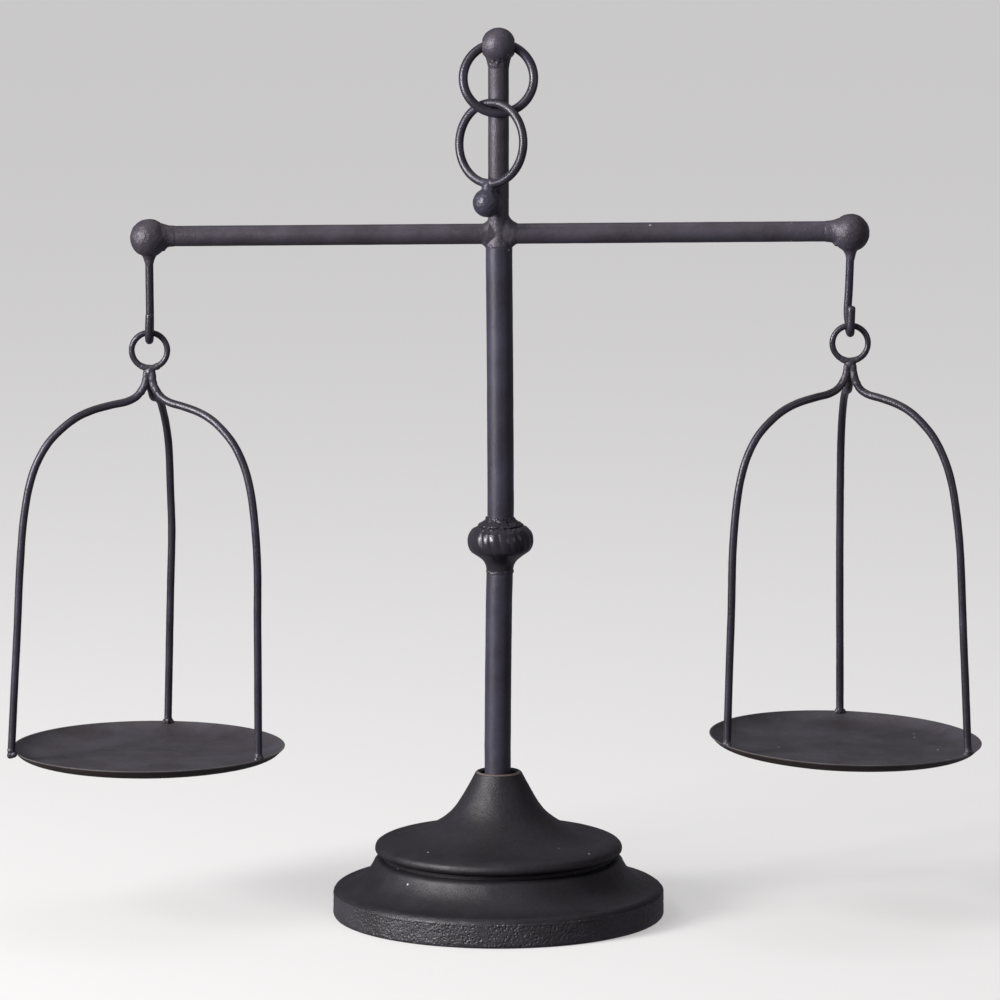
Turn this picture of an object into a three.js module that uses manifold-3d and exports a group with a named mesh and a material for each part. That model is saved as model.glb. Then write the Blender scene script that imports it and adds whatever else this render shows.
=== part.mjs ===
// A decorative two-pan weighing scale in blackened iron.
// Frame: millimetres, +X right, +Y back, +Z up. The origin is the centre of the base's underside.
//
// A weighted two-piece base carries a tube post in two lengths with a fluted bead between them.
// A tie rod clamps base, lower post, bead and upper post together. A thinner mast plugs into the
// top of the post and carries a fixed beam, made of two arms welded to it, and a ball finial.
// A pan hangs from a hook under each beam end. Two loose rings and a small ball hang in front
// of the mast from a hole through the finial.

import * as THREE from 'three';
import { mergeVertices } from 'three/addons/utils/BufferGeometryUtils.js';
import Module from 'manifold-3d';

const wasm = await Module();
wasm.setup();

// ---- driving dimensions ----------------------------------------------------------------------

const GAP = 0.3; // between pieces that touch
const TUCK = 2; // how far a rod runs into a ball before it is coped to fit
const ROUND_SIDES = 40; // facets round a large turned piece
const TUBE_SIDES = 28; // facets round a tube or rod
const WIRE_SIDES = 8; // facets round a bent wire

// base
const BASE_RADIUS = 100.8;
const BASE_RIM_TOP = 16.3; // top of the foot casting's upright side
const BASE_STEP_TOP = 35; // where the bell casting sits on the foot casting
const BELL_LIP_RADIUS = 75.2;
const BELL_LIP_HEIGHT = 42;
const COLLAR_TOP = 88.6;
const COLLAR_BORE = 10.9; // radius of the socket that the post stands in
const SOCKET_FLOOR = 80;

// post, bead and mast
const POST_RADIUS = 8;
const POST_BORE = 6.6;
const SPIGOT_RADIUS = 6.1;
const SPIGOT_LENGTH = 5; // of the bead's two spigots
const BEAD_BOTTOM = 210.9;
const BEAD_TOP = 243.1;
const BEAD_LOBES = 20;
const LOBE_DEPTH = 0.45;
const POST_TOP = 409.8;
const MAST_RADIUS = 6.25;
const MAST_BOTTOM = 372;
const FINIAL_HEIGHT = 530.2;
const FINIAL_RADIUS = 10.3;
const CROSS_HOLE_HEIGHT = FINIAL_HEIGHT - 0.4;

// tie rod through base, lower post and bead
const ROD_RADIUS = 4;
const ROD_HOLE = 4.6;
const ROD_BOTTOM = 8;
const PLUG_BOTTOM = 253;
const PLUG_TOP = 265;
const NUT_ACROSS_FLATS = 13;
const NUT_HEIGHT = 6.5;
const WASHER_RADIUS = 9;
const WASHER_THICKNESS = 1.6;
const BOSS_FACE = 22; // underside of the foot casting's centre boss

// beam
const BEAM_HEIGHT = 416.75; // at the mast
const BEAM_RADIUS = 6.15;
const BEAM_RISE = THREE.MathUtils.degToRad(0.42); // the right end stands a little higher
const END_BALL_RADIUS = 11.4;
const END_BALL_DROP = 1; // the balls are welded on a little below the beam's axis

// hooks and pan rings
const HOOK_WIRE = 2.45;
const HOOK_BEND = 5;
const SHANK_END = 6; // height above the bend where the shank's straight part ends
const LEG_END = 12; // height of the leg's tip above the bend
const RING_RADIUS = 10.7;
const RING_WIRE = 1.8;

// pans and their hangers
const PAN_RADIUS = 82.7;
const PAN_SHEET = 1.4;
const PAN_DEPTH = 7.6; // from the rim's top edge down to the underside of the floor
const HANGER_WIRE = 2.35;
const OUTSIDE = PAN_RADIUS + HANGER_WIRE + GAP; // radius of a foot outside the pan's rim
const OUTSIDE_DROP = 1; // how far such a foot laps down the rim
const ON_RIM = 80; // radius of a foot that stands on the rim
const ON_RIM_LIFT = 0.2; // the rim is uneven, so such a foot ends a little above it
const HANGER_DRIFT_END = 60; // distance out by which a wire is centred on the pan, not the hook

// The two sides differ a little, as hand work does. A hook's shank and leg lean by sway, given
// for the shank's lower end and the leg's tip. A hanger wire's foot stands at an angle round the
// pan and a distance out. Its bend is turned by twist from that angle, and reaches out by a share
// of the usual shape, given for the bend's upper and lower end.
const SIDES = [
  {
    name: 'left',
    x: -209.8,
    hookBottom: 352.95,
    sway: [0.2, 0.5],
    panCentre: new THREE.Vector3(-212.2, -HOOK_BEND, 105),
    panTilt: [0, 0],
    feet: {
      back: { at: 84.5, twist: -2.5, out: ON_RIM + 1, reach: [1, 1] },
      outer: { at: 197, twist: 0, out: OUTSIDE, reach: [0.94, 0.99] },
      inner: { at: 328.3, twist: 0, out: ON_RIM, reach: [1.03, 1.01] },
    },
  },
  {
    name: 'right',
    x: 211.4,
    hookBottom: 357.3,
    sway: [-1.4, 0.35],
    panCentre: new THREE.Vector3(210.4, -HOOK_BEND, 110.2),
    panTilt: [0.8, 1.95],
    feet: {
      back: { at: 89.5, twist: 0.75, out: ON_RIM + 1, reach: [1, 1] },
      inner: { at: 206, twist: 0, out: ON_RIM + 1.2, reach: [0.975, 0.985] },
      outer: { at: 333, twist: 0, out: ON_RIM + 0.6, reach: [0.855, 0.94] },
    },
  },
];

// loose rings in front of the mast
const UPPER_RING_RADIUS = 21.1;
const UPPER_RING_WIRE = 2.6;
const UPPER_RING_STAND_OFF = 1; // the lower ring's wire keeps the upper ring off the mast
const LOWER_RING_RADIUS = 24.1;
const LOWER_RING_WIRE = 2.45;
const LOWER_RING_TURN = THREE.MathUtils.degToRad(37.7);
const LOWER_RING_DOWN = new THREE.Vector3(-0.09, -0.06, -0.995).normalize();
const LINK_SLACK = 1;
const LINK_OFFSET = new THREE.Vector3(-2.2, 0.5, UPPER_RING_WIRE + LOWER_RING_WIRE + LINK_SLACK);
const PENDANT_RADIUS = 8.6;
const PENDANT_NECK = 2.6;
const PENDANT_DROP = 1.2; // from the lower ring down to the pendant's ball

// ---- materials: dark painted iron, a little different from piece to piece --------------------

function iron(colour, roughness) {
  return new THREE.MeshStandardMaterial({ color: colour, roughness, metalness: 0.6 });
}

const castIron = iron(0x322f36, 0.62);
const tubeIron = iron(0x3a3842, 0.5);
const rodIron = iron(0x4c4751, 0.5);
const wireIron = iron(0x3c3942, 0.55);
const panIron = iron(0x514c53, 0.6);
const zincSteel = new THREE.MeshStandardMaterial({ color: 0x8c8f92, roughness: 0.4, metalness: 0.9 });

// ---- helpers ---------------------------------------------------------------------------------

function closed(geometry) {
  geometry.deleteAttribute('normal');
  geometry.deleteAttribute('uv');
  return mergeVertices(geometry, 1e-4);
}

function signedVolume(geometry) {
  const p = geometry.attributes.position;
  const index = geometry.index.array;
  const [a, b, c] = [new THREE.Vector3(), new THREE.Vector3(), new THREE.Vector3()];
  let sum = 0;
  for (let i = 0; i < index.length; i += 3) {
    a.fromBufferAttribute(p, index[i]);
    b.fromBufferAttribute(p, index[i + 1]);
    c.fromBufferAttribute(p, index[i + 2]);
    sum += a.dot(b.cross(c));
  }
  return sum / 6;
}

// Drops triangles without area and turns the faces outwards.
function tidied(geometry) {
  const body = closed(geometry);
  const kept = [];
  const old = body.index.array;
  for (let i = 0; i < old.length; i += 3) {
    const [a, b, c] = [old[i], old[i + 1], old[i + 2]];
    if (a !== b && b !== c && c !== a) kept.push(a, b, c);
  }
  body.setIndex(kept);
  if (signedVolume(body) < 0) {
    for (let i = 0; i < kept.length; i += 3) [kept[i], kept[i + 1]] = [kept[i + 1], kept[i]];
    body.setIndex(kept);
  }
  return body;
}

function toSolid(geometry) {
  return new wasm.Manifold(new wasm.Mesh({
    numProp: 3,
    vertProperties: new Float32Array(geometry.attributes.position.array),
    triVerts: new Uint32Array(geometry.index.array),
  }));
}

function toGeometry(solid) {
  const mesh = solid.getMesh();
  const geometry = new THREE.BufferGeometry();
  geometry.setAttribute('position', new THREE.BufferAttribute(mesh.vertProperties, 3));
  geometry.setIndex(new THREE.BufferAttribute(mesh.triVerts, 1));
  return geometry;
}

function cut(geometry, ...tools) {
  let solid = toSolid(geometry);
  for (const tool of tools) solid = solid.subtract(toSolid(tool));
  return toGeometry(solid);
}

// A turned piece about Z. The outline is a closed loop of [radius, height] points.
function turned(outline, sides = TUBE_SIDES) {
  const points = outline.map(([r, z]) => new THREE.Vector2(r, z));
  const onAxis = outline[0][0] === 0;
  if (!onAxis) points.push(points[0].clone());
  return tidied(new THREE.LatheGeometry(points, sides).rotateX(Math.PI / 2));
}

function rodZ(radius, low, high, sides = TUBE_SIDES) {
  const rod = new THREE.CylinderGeometry(radius, radius, high - low, sides);
  return tidied(rod.rotateX(Math.PI / 2).translate(0, 0, (low + high) / 2));
}

function rodX(radius, length, sides = TUBE_SIDES) {
  return tidied(new THREE.CylinderGeometry(radius, radius, length, sides).rotateZ(Math.PI / 2));
}

function ball(radius, centre, around = 20, up = 12) {
  const sphere = new THREE.SphereGeometry(radius, around, up).rotateX(Math.PI / 2);
  return tidied(sphere.translate(centre.x, centre.y, centre.z));
}

function ringOf(radius, wire, around = 34, sides = WIRE_SIDES) {
  return tidied(new THREE.TorusGeometry(radius, wire, sides, around));
}

function bentWire(points, wire, steps) {
  const section = new THREE.Shape().absarc(0, 0, wire, 0, 2 * Math.PI);
  const path = new THREE.CatmullRomCurve3(points, false, 'centripetal');
  return tidied(new THREE.ExtrudeGeometry(section, {
    steps,
    curveSegments: WIRE_SIDES / 2,
    bevelEnabled: false,
    extrudePath: path,
  }));
}

const scale = new THREE.Group();

function add(name, geometry, material) {
  const mesh = new THREE.Mesh(geometry, material);
  mesh.name = name;
  scale.add(mesh);
  return mesh;
}

// ---- base ------------------------------------------------------------------------------------

// The foot casting: an upright rough side with a bead on its top edge, then a hollow curve up to
// the step that the bell sits on. It is hollow below, with a boss for the tie rod's nut.
function footCasting() {
  const step = BELL_LIP_RADIUS - 2;
  const outline = [
    [ROD_HOLE, BOSS_FACE], [12, BOSS_FACE], [13, 28], [62, 28], [72, 20], [84, 11], [88, 8],
    [88, 0], [99.4, 0], [BASE_RADIUS, 1.4], [BASE_RADIUS, BASE_RIM_TOP - 2.8],
    [99.9, BASE_RIM_TOP - 0.4], [98, BASE_RIM_TOP + 1.2], [95.4, BASE_RIM_TOP + 1.7],
    [91.5, 18.8], [87, 20.7], [82.5, 23.7], [79, 27.4], [76.6, 31.2],
    [75.4, 33.8], [step, BASE_STEP_TOP], [ROD_HOLE, BASE_STEP_TOP],
  ];
  return turned(outline, ROUND_SIDES);
}

// The bell casting: a foot undercut below a round lip, a swept shoulder and an open collar.
function bellCasting() {
  const foot = BASE_STEP_TOP + GAP;
  const outline = [
    [63, foot], [70.6, foot], [70.8, 38.2], [73.4, 38.7], [74.9, 40],
    [BELL_LIP_RADIUS, BELL_LIP_HEIGHT - 0.3], [74.6, 43.6], [72.6, 45], [68.5, 46.4], [62, 47.4],
    [56, 48.6], [50, 50.4], [44, 52.9], [38, 56.3], [33, 59.8], [28.6, 63.8],
    [24.9, 68.5], [21.8, 73.5], [18.9, 78.6], [16.5, 83], [15, 86.2],
    [14.2, 87.9], [13.1, COLLAR_TOP], [11.9, 88.3], [COLLAR_BORE, 87.2],
    [COLLAR_BORE, SOCKET_FLOOR], [ROD_HOLE, SOCKET_FLOOR], [ROD_HOLE, 73],
    [10, 72.6], [18, 65.5], [25, 57.5], [35, 49.8], [48, 44], [63, 40.6],
  ];
  return turned(outline, ROUND_SIDES);
}

add('base_foot', footCasting(), castIron);
add('base_bell', bellCasting(), castIron);

// ---- tie rod and its fasteners ---------------------------------------------------------------

const washerTop = BOSS_FACE - GAP;
const nutTop = washerTop - WASHER_THICKNESS - GAP;

function washer() {
  const low = washerTop - WASHER_THICKNESS;
  return turned([
    [ROD_HOLE, low], [WASHER_RADIUS, low], [WASHER_RADIUS, washerTop], [ROD_HOLE, washerTop],
  ]);
}

function hexNut() {
  const corner = NUT_ACROSS_FLATS / Math.sqrt(3);
  const low = nutTop - NUT_HEIGHT;
  const block = rodZ(corner, low, nutTop, 6);
  return cut(block, rodZ(ROD_RADIUS + GAP, low - 1, nutTop + 1, 24));
}

add('tie_rod', rodZ(ROD_RADIUS, ROD_BOTTOM, PLUG_TOP - 1, 24), zincSteel);
add('tie_washer', washer(), zincSteel);
add('tie_nut', hexNut(), zincSteel);

// ---- post and bead ---------------------------------------------------------------------------

function tube(low, high) {
  return turned([[POST_BORE, low], [POST_RADIUS, low], [POST_RADIUS, high], [POST_BORE, high]]);
}

// The fluted bead has a short spigot at each end that centres the tubes. Its lobes fade out
// towards the two necks.
function flutedBead() {
  const low = BEAD_BOTTOM - SPIGOT_LENGTH;
  const high = BEAD_TOP + SPIGOT_LENGTH;
  const necks = [
    [8.05, BEAD_BOTTOM], [8.25, 213], [9.1, 215.6], [11.2, 218.4], [14.9, 221.3], [17.9, 224.2],
    [19.3, 227.2], [19.75, 230.4], [19.4, 233.4], [18, 236.3], [15.4, 238.4], [12.2, 239.9],
    [9.6, 241.4], [8.4, BEAD_TOP],
  ];
  const outline = [
    [ROD_HOLE, low], [SPIGOT_RADIUS, low], [SPIGOT_RADIUS, BEAD_BOTTOM],
    ...necks,
    [SPIGOT_RADIUS, BEAD_TOP], [SPIGOT_RADIUS, high], [ROD_HOLE, high],
  ];
  const geometry = turned(outline, BEAD_LOBES * 2);
  const p = geometry.attributes.position;
  for (let i = 0; i < p.count; i += 1) {
    const [x, y, z] = [p.getX(i), p.getY(i), p.getZ(i)];
    const r = Math.hypot(x, y);
    const fade = THREE.MathUtils.smoothstep(r, 9.5, 17);
    const lobe = 0.5 - 0.5 * Math.cos(BEAD_LOBES * Math.atan2(y, x));
    const grown = (r - LOBE_DEPTH * fade * lobe) / r;
    p.setXYZ(i, x * grown, y * grown, z);
  }
  return geometry;
}

function postPlug() {
  const hole = ROD_RADIUS + GAP;
  return turned([
    [hole, PLUG_BOTTOM], [SPIGOT_RADIUS, PLUG_BOTTOM], [SPIGOT_RADIUS, PLUG_TOP], [hole, PLUG_TOP],
  ]);
}

add('lower_post', tube(SOCKET_FLOOR + GAP, BEAD_BOTTOM - GAP), tubeIron);
add('fluted_bead', flutedBead(), tubeIron);
add('upper_post', tube(BEAD_TOP + GAP, POST_TOP), tubeIron);
add('post_plug', postPlug(), zincSteel);

// ---- mast, finial and beam -------------------------------------------------------------------

const finialCentre = new THREE.Vector3(0, 0, FINIAL_HEIGHT);
const mastTop = FINIAL_HEIGHT - FINIAL_RADIUS + TUCK;
const mast = rodZ(MAST_RADIUS, MAST_BOTTOM, mastTop);
add('mast', cut(mast, ball(FINIAL_RADIUS + GAP, finialCentre)), rodIron);

// The upper ring passes through a cross hole in the finial. The ring bends inside the hole, so
// the pivot lies halfway up the bend and the hole is wide enough for it at every angle.
const ringBend = UPPER_RING_RADIUS - Math.sqrt(UPPER_RING_RADIUS ** 2 - FINIAL_RADIUS ** 2);
const crossHole = UPPER_RING_WIRE + ringBend / 2 + GAP;
const crossDrill = rodX(crossHole, 4 * FINIAL_RADIUS).translate(0, 0, CROSS_HOLE_HEIGHT);
add('finial_ball', cut(ball(FINIAL_RADIUS, finialCentre, 24, 14), crossDrill), rodIron);

function beamPoint(x) {
  return new THREE.Vector3(x, 0, BEAM_HEIGHT + x * Math.tan(BEAM_RISE));
}

function ballCentre(side) {
  return beamPoint(side.x).setZ(beamPoint(side.x).z - END_BALL_DROP);
}

function beamArm(side) {
  const length = Math.abs(side.x);
  const arm = rodX(BEAM_RADIUS, length);
  arm.rotateY(-BEAM_RISE);
  const middle = beamPoint(side.x / 2);
  arm.translate(middle.x, middle.y, middle.z);
  const mastCope = rodZ(MAST_RADIUS + GAP, BEAM_HEIGHT - 2 * BEAM_RADIUS, BEAM_HEIGHT + 2 * BEAM_RADIUS);
  return cut(arm, mastCope, ball(END_BALL_RADIUS + GAP, ballCentre(side)));
}

for (const side of SIDES) {
  add(`${side.name}_arm`, beamArm(side), rodIron);
  add(`${side.name}_end_ball`, ball(END_BALL_RADIUS, ballCentre(side)), rodIron);
}

// ---- hooks -----------------------------------------------------------------------------------

// A hook is one wire: a straight shank from the ball, a half-round bend to the front and a short
// straight leg up.
function hook(side) {
  const top = ballCentre(side).z - END_BALL_RADIUS + TUCK;
  const bendCentre = side.hookBottom + HOOK_BEND;
  const [shankSway, legSway] = side.sway;
  const points = [
    new THREE.Vector3(side.x, 0, top),
    new THREE.Vector3(side.x + shankSway / 2, 0, (top + bendCentre) / 2),
    new THREE.Vector3(side.x + shankSway, 0, bendCentre + SHANK_END),
  ];
  const bendSteps = 8;
  for (let step = 0; step <= bendSteps; step += 1) {
    const turn = (step / bendSteps) * Math.PI;
    const y = -HOOK_BEND + HOOK_BEND * Math.cos(turn);
    const x = side.x + shankSway * 0.5 * Math.max(0, Math.cos(turn));
    points.push(new THREE.Vector3(x, y, bendCentre - HOOK_BEND * Math.sin(turn)));
  }
  points.push(new THREE.Vector3(side.x + legSway, -2 * HOOK_BEND, bendCentre + LEG_END));
  const wire = bentWire(points, HOOK_WIRE, 32);
  return cut(wire, ball(END_BALL_RADIUS + GAP, ballCentre(side)));
}

// ---- pans and hangers ------------------------------------------------------------------------

// The pan is pressed sheet: a nearly flat floor and a low rim that turns up steeply.
function panDish() {
  const underside = [
    [0, -PAN_DEPTH], [30, -PAN_DEPTH], [60, -7.1], [72.8, -6.1], [78.4, -4.1], [81.4, -1.4],
  ];
  const inside = [[81.1, 0], [79.7, -1.1], [77.1, -2.9], [72.1, -4.7], [60, -5.7], [30, -6.2]];
  const outline = [...underside, [PAN_RADIUS, 0], ...inside, [0, PAN_SHEET - PAN_DEPTH]];
  return turned(outline, ROUND_SIDES);
}

// Wire centres of a hanger's bend: distance out from the pan's axis in millimetres, and height as
// a share of the way from the foot up to the ring. Below the last point the wire runs straight.
const HANGER_BEND = [
  [3.1, 1], [3.6, 0.965], [8, 0.937], [14, 0.924], [24, 0.916], [36, 0.904], [46, 0.886],
  [55, 0.858], [63, 0.822], [70, 0.768], [74.3, 0.708], [77.2, 0.63], [79, 0.525],
];

// Height of the rim above the pan's centre at a point, for a pan tilted by the two small angles
// about X and Y.
function rimRise(side, x, y) {
  const [aboutX, aboutY] = side.panTilt.map(THREE.MathUtils.degToRad);
  return y * Math.tan(aboutX) - x * Math.tan(aboutY);
}

function hangerArm(side, foot, ringBottom) {
  const footTurn = THREE.MathUtils.degToRad(foot.at);
  const rimX = foot.out * Math.cos(footTurn);
  const rim = side.panCentre.z + rimRise(side, rimX, foot.out * Math.sin(footTurn));
  const footZ = foot.out > PAN_RADIUS ? rim - OUTSIDE_DROP : rim + GAP + ON_RIM_LIFT;
  const [lastOut, lastUp] = HANGER_BEND.at(-1);
  const points = [];
  function place(out, up) {
    const twist = foot.twist * Math.min(1, up / lastUp);
    const turn = THREE.MathUtils.degToRad(foot.at + twist);
    const drift = Math.min(1, out / HANGER_DRIFT_END);
    const x = side.x + (side.panCentre.x - side.x) * drift + out * Math.cos(turn);
    const y = side.panCentre.y + out * Math.sin(turn);
    points.push(new THREE.Vector3(x, y, footZ + (ringBottom - footZ) * up));
  }
  const [upperReach, lowerReach] = foot.reach;
  HANGER_BEND.forEach(([out, up], i) => {
    const along = (i / (HANGER_BEND.length - 1)) ** 2;
    const reach = upperReach + (lowerReach - upperReach) * along;
    place(i < 2 ? out : out * reach, up);
  });
  const bendOut = lastOut * lowerReach;
  for (const left of [2 / 3, 1 / 3, 0]) place(foot.out + (bendOut - foot.out) * left, lastUp * left);
  return bentWire(points, HANGER_WIRE, 34);
}

for (const side of SIDES) {
  add(`${side.name}_hook`, hook(side), wireIron);

  const ringCentre = side.hookBottom + HOOK_WIRE + RING_WIRE + GAP - RING_RADIUS;
  const panRing = add(`${side.name}_pan_ring`, ringOf(RING_RADIUS, RING_WIRE, 26), wireIron);
  panRing.rotation.x = Math.PI / 2;
  panRing.position.set(side.x, side.panCentre.y, ringCentre);

  const ringBottom = ringCentre - RING_RADIUS - RING_WIRE - GAP;
  for (const [place, foot] of Object.entries(side.feet)) {
    add(`${side.name}_hanger_${place}`, hangerArm(side, foot, ringBottom), wireIron);
  }

  const pan = add(`${side.name}_pan`, panDish(), panIron);
  const [aboutX, aboutY] = side.panTilt.map(THREE.MathUtils.degToRad);
  pan.rotation.set(aboutX, aboutY, 0);
  pan.position.copy(side.panCentre);
}

// ---- loose rings and pendant -----------------------------------------------------------------

// The upper ring leans forward until its bottom rests in front of the mast.
const upperPivot = new THREE.Vector3(0, 0, CROSS_HOLE_HEIGHT);
const upperPivotToCentre = UPPER_RING_RADIUS - ringBend / 2;
const upperPivotToBottom = upperPivotToCentre + UPPER_RING_RADIUS;
const upperForward = MAST_RADIUS + UPPER_RING_WIRE + GAP + UPPER_RING_STAND_OFF;
const upperLean = Math.asin(upperForward / upperPivotToBottom);
const upperDown = new THREE.Vector3(0, -Math.sin(upperLean), -Math.cos(upperLean));
const upperRing = add('upper_ring', ringOf(UPPER_RING_RADIUS, UPPER_RING_WIRE), wireIron);
upperRing.rotation.x = Math.PI / 2 - upperLean;
upperRing.position.copy(upperPivot).addScaledVector(upperDown, upperPivotToCentre);

// The lower ring hangs on the bottom of the upper ring, turned about its own upright axis, and
// the pendant under it touches the mast beside its front.
const linkPoint = upperPivot.clone().addScaledVector(upperDown, upperPivotToBottom);
const lowerTop = linkPoint.clone().add(LINK_OFFSET);
const lowerAcross = new THREE.Vector3(Math.cos(LOWER_RING_TURN), -Math.sin(LOWER_RING_TURN), 0);
lowerAcross.addScaledVector(LOWER_RING_DOWN, -lowerAcross.dot(LOWER_RING_DOWN)).normalize();
const lowerNormal = new THREE.Vector3().crossVectors(lowerAcross, LOWER_RING_DOWN).normalize();
const lowerTurn = new THREE.Matrix4().makeBasis(lowerAcross, LOWER_RING_DOWN, lowerNormal);
const lowerRing = add('lower_ring', ringOf(LOWER_RING_RADIUS, LOWER_RING_WIRE), wireIron);
lowerRing.position.copy(lowerTop).addScaledVector(LOWER_RING_DOWN, LOWER_RING_RADIUS);
lowerRing.setRotationFromMatrix(lowerTurn);

// The pendant is a ball with a short neck that meets the bottom of the lower ring.
function pendant() {
  const ringLow = lowerTop.clone().addScaledVector(LOWER_RING_DOWN, 2 * LOWER_RING_RADIUS);
  const ringToBall = LOWER_RING_WIRE + PENDANT_DROP + PENDANT_RADIUS;
  const centre = ringLow.clone().addScaledVector(LOWER_RING_DOWN, ringToBall);
  const neckLength = PENDANT_RADIUS + PENDANT_DROP + LOWER_RING_WIRE;
  const neck = new THREE.CylinderGeometry(PENDANT_NECK, PENDANT_NECK, neckLength, 16);
  neck.rotateX(Math.PI / 2).translate(centre.x, centre.y, centre.z + neckLength / 2);
  const joined = toSolid(ball(PENDANT_RADIUS, centre)).add(toSolid(tidied(neck)));
  const clearance = ringOf(LOWER_RING_RADIUS, LOWER_RING_WIRE + GAP).applyMatrix4(lowerTurn);
  const middle = lowerRing.position;
  clearance.translate(middle.x, middle.y, middle.z);
  return toGeometry(joined.subtract(toSolid(clearance)));
}

add('pendant_ball', pendant(), rodIron);

export default scale;
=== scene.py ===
import math

import bmesh
import bpy
import numpy as np
from mathutils import Matrix, Vector, noise


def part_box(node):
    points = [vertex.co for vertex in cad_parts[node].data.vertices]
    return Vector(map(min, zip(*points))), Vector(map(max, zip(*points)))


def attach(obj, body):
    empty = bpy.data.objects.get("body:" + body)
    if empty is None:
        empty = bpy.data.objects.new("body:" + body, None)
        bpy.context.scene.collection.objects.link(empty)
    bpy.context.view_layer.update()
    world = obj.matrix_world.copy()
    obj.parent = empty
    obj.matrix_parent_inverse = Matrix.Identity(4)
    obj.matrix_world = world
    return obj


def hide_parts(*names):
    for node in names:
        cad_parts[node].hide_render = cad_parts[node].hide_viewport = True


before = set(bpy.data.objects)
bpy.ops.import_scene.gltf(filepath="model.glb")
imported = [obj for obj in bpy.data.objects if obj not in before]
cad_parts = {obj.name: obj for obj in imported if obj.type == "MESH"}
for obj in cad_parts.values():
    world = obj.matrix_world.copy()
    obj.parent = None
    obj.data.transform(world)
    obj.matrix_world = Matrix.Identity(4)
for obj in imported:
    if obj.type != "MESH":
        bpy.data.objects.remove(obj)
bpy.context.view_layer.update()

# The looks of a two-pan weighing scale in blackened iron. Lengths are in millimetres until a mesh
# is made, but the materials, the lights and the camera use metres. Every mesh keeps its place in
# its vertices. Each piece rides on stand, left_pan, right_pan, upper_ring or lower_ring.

noise.seed_set(1)  # noise_vector follows the clock unless it is seeded

MM = 0.001

# the same dimensions as the CAD
GAP = 0.3
ROD_HOLE_RADIUS = 4.6
POST_RADIUS, POST_BORE = 8.0, 6.6
SPIGOT_RADIUS, SPIGOT_LENGTH = 6.1, 5.0
MAST_RADIUS, BEAM_RADIUS = 6.25, 6.15
END_BALL_DROP = 1.0
CROSS_HOLE_DROP = 0.4
HOOK_WIRE, HOOK_BEND = 2.45, 5.0
RING_RADIUS, RING_WIRE = 10.7, 1.8
HANGER_WIRE, HANGER_DRIFT_END = 2.35, 60.0
PAN_RADIUS, PAN_DEPTH = 82.7, 7.6
OUTSIDE, OUTSIDE_DROP = PAN_RADIUS + HANGER_WIRE + GAP, 1.0
ON_RIM, ON_RIM_LIFT = 80.0, 0.2
UPPER_RING_RADIUS, UPPER_RING_WIRE = 21.1, 2.6
UPPER_RING_STAND_OFF = 1.0
LOWER_RING_RADIUS, LOWER_RING_WIRE = 24.1, 2.45
LOWER_RING_TURN = math.radians(37.7)
LOWER_RING_DOWN = np.array([-0.09, -0.06, -0.995]) / np.linalg.norm([-0.09, -0.06, -0.995])
LINK_OFFSET = np.array([-2.2, 0.5, UPPER_RING_WIRE + LOWER_RING_WIRE + 1])
PENDANT_RADIUS = 8.6

# the post's sideways bend, at some heights
CROOK_HEIGHTS = [85, 107, 150, 193, 215, 235, 260, 330, 400]
CROOK_SHIFTS = [-0.5, -0.5, -0.2, 0.3, 0.85, 1.25, 1.3, 0.95, 0.35]

# the finial's skin, and the hole across it: a mouth at each side, and a wider chamber between them
FINIAL_SWELL, FINIAL_LOWER = 0.3, -0.2
MOUTH_RADIUS, CHAMBER_RADIUS = 4.0, 4.35
MOUTH_OFFSET = np.array([0.0, -0.7, -0.5])
CHAMBER_OFFSET = np.array([0.0, 0.0, -0.2])

LOBES = 20
ARM_ROOT = 13.5
LOOSE_RING_SWELL = 1.055
PENDANT_DROP, PENDANT_ASIDE = 0.5, np.array([0.8, -0.6, 0.0])

# A hanger's wire: distance out from the pan's axis, and height as a share of the way from the
# foot up to the ring. The first two points draw the three wires together under the ring.
HANGER_BEND = [
    (1.9, 1.0), (3.1, 0.965), (8, 0.937), (14, 0.924), (24, 0.916), (36, 0.904), (46, 0.886),
    (55, 0.858), (63, 0.822), (70, 0.768), (74.3, 0.708), (77.2, 0.63), (79, 0.525),
]

# sway is how far the hook's shank and leg lean sideways. fillets are the legs of the weld above and
# below the arm's root. A foot is an angle round the pan, a twist of the bend from that angle, a
# distance out, and the reach of the bend's upper and lower end.
SIDES = {
    "left": dict(hook_bottom=352.95, sway=(0.2, 0.5), pan=(-212.2, -HOOK_BEND, 105.0),
                 tilt=(0.0, 0.0), fillets=(2.8, 2.6),
                 feet=dict(back=(84.5, -2.5, ON_RIM + 1, (1.0, 1.0)),
                           outer=(197, 0, OUTSIDE, (0.94, 0.99)),
                           inner=(328.3, 0, ON_RIM, (1.03, 1.01)))),
    "right": dict(hook_bottom=357.3, sway=(-1.4, 0.35), pan=(210.4, -HOOK_BEND, 110.2),
                  tilt=(0.8, 1.95), fillets=(5.2, 3.4),
                  feet=dict(back=(89.5, 0.75, ON_RIM + 1, (1.0, 1.0)),
                            inner=(206, 0, ON_RIM + 1.2, (0.975, 0.985)),
                            outer=(333, 0, ON_RIM + 0.6, (0.855, 0.94)))),
}


# ---- places taken from the frame ---------------------------------------------------------------

def low_high(node):
    """Lowest and highest corner of a CAD node, in millimetres."""
    low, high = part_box(node)
    return np.array(low) / MM, np.array(high) / MM


def middle(node):
    """Middle of a CAD node's box."""
    low, high = low_high(node)
    return (low + high) / 2


def radius_of(node):
    """Half the width of a round CAD node along X."""
    low, high = low_high(node)
    return (high[0] - low[0]) / 2


# ---- lines ---------------------------------------------------------------------------------------

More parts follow.
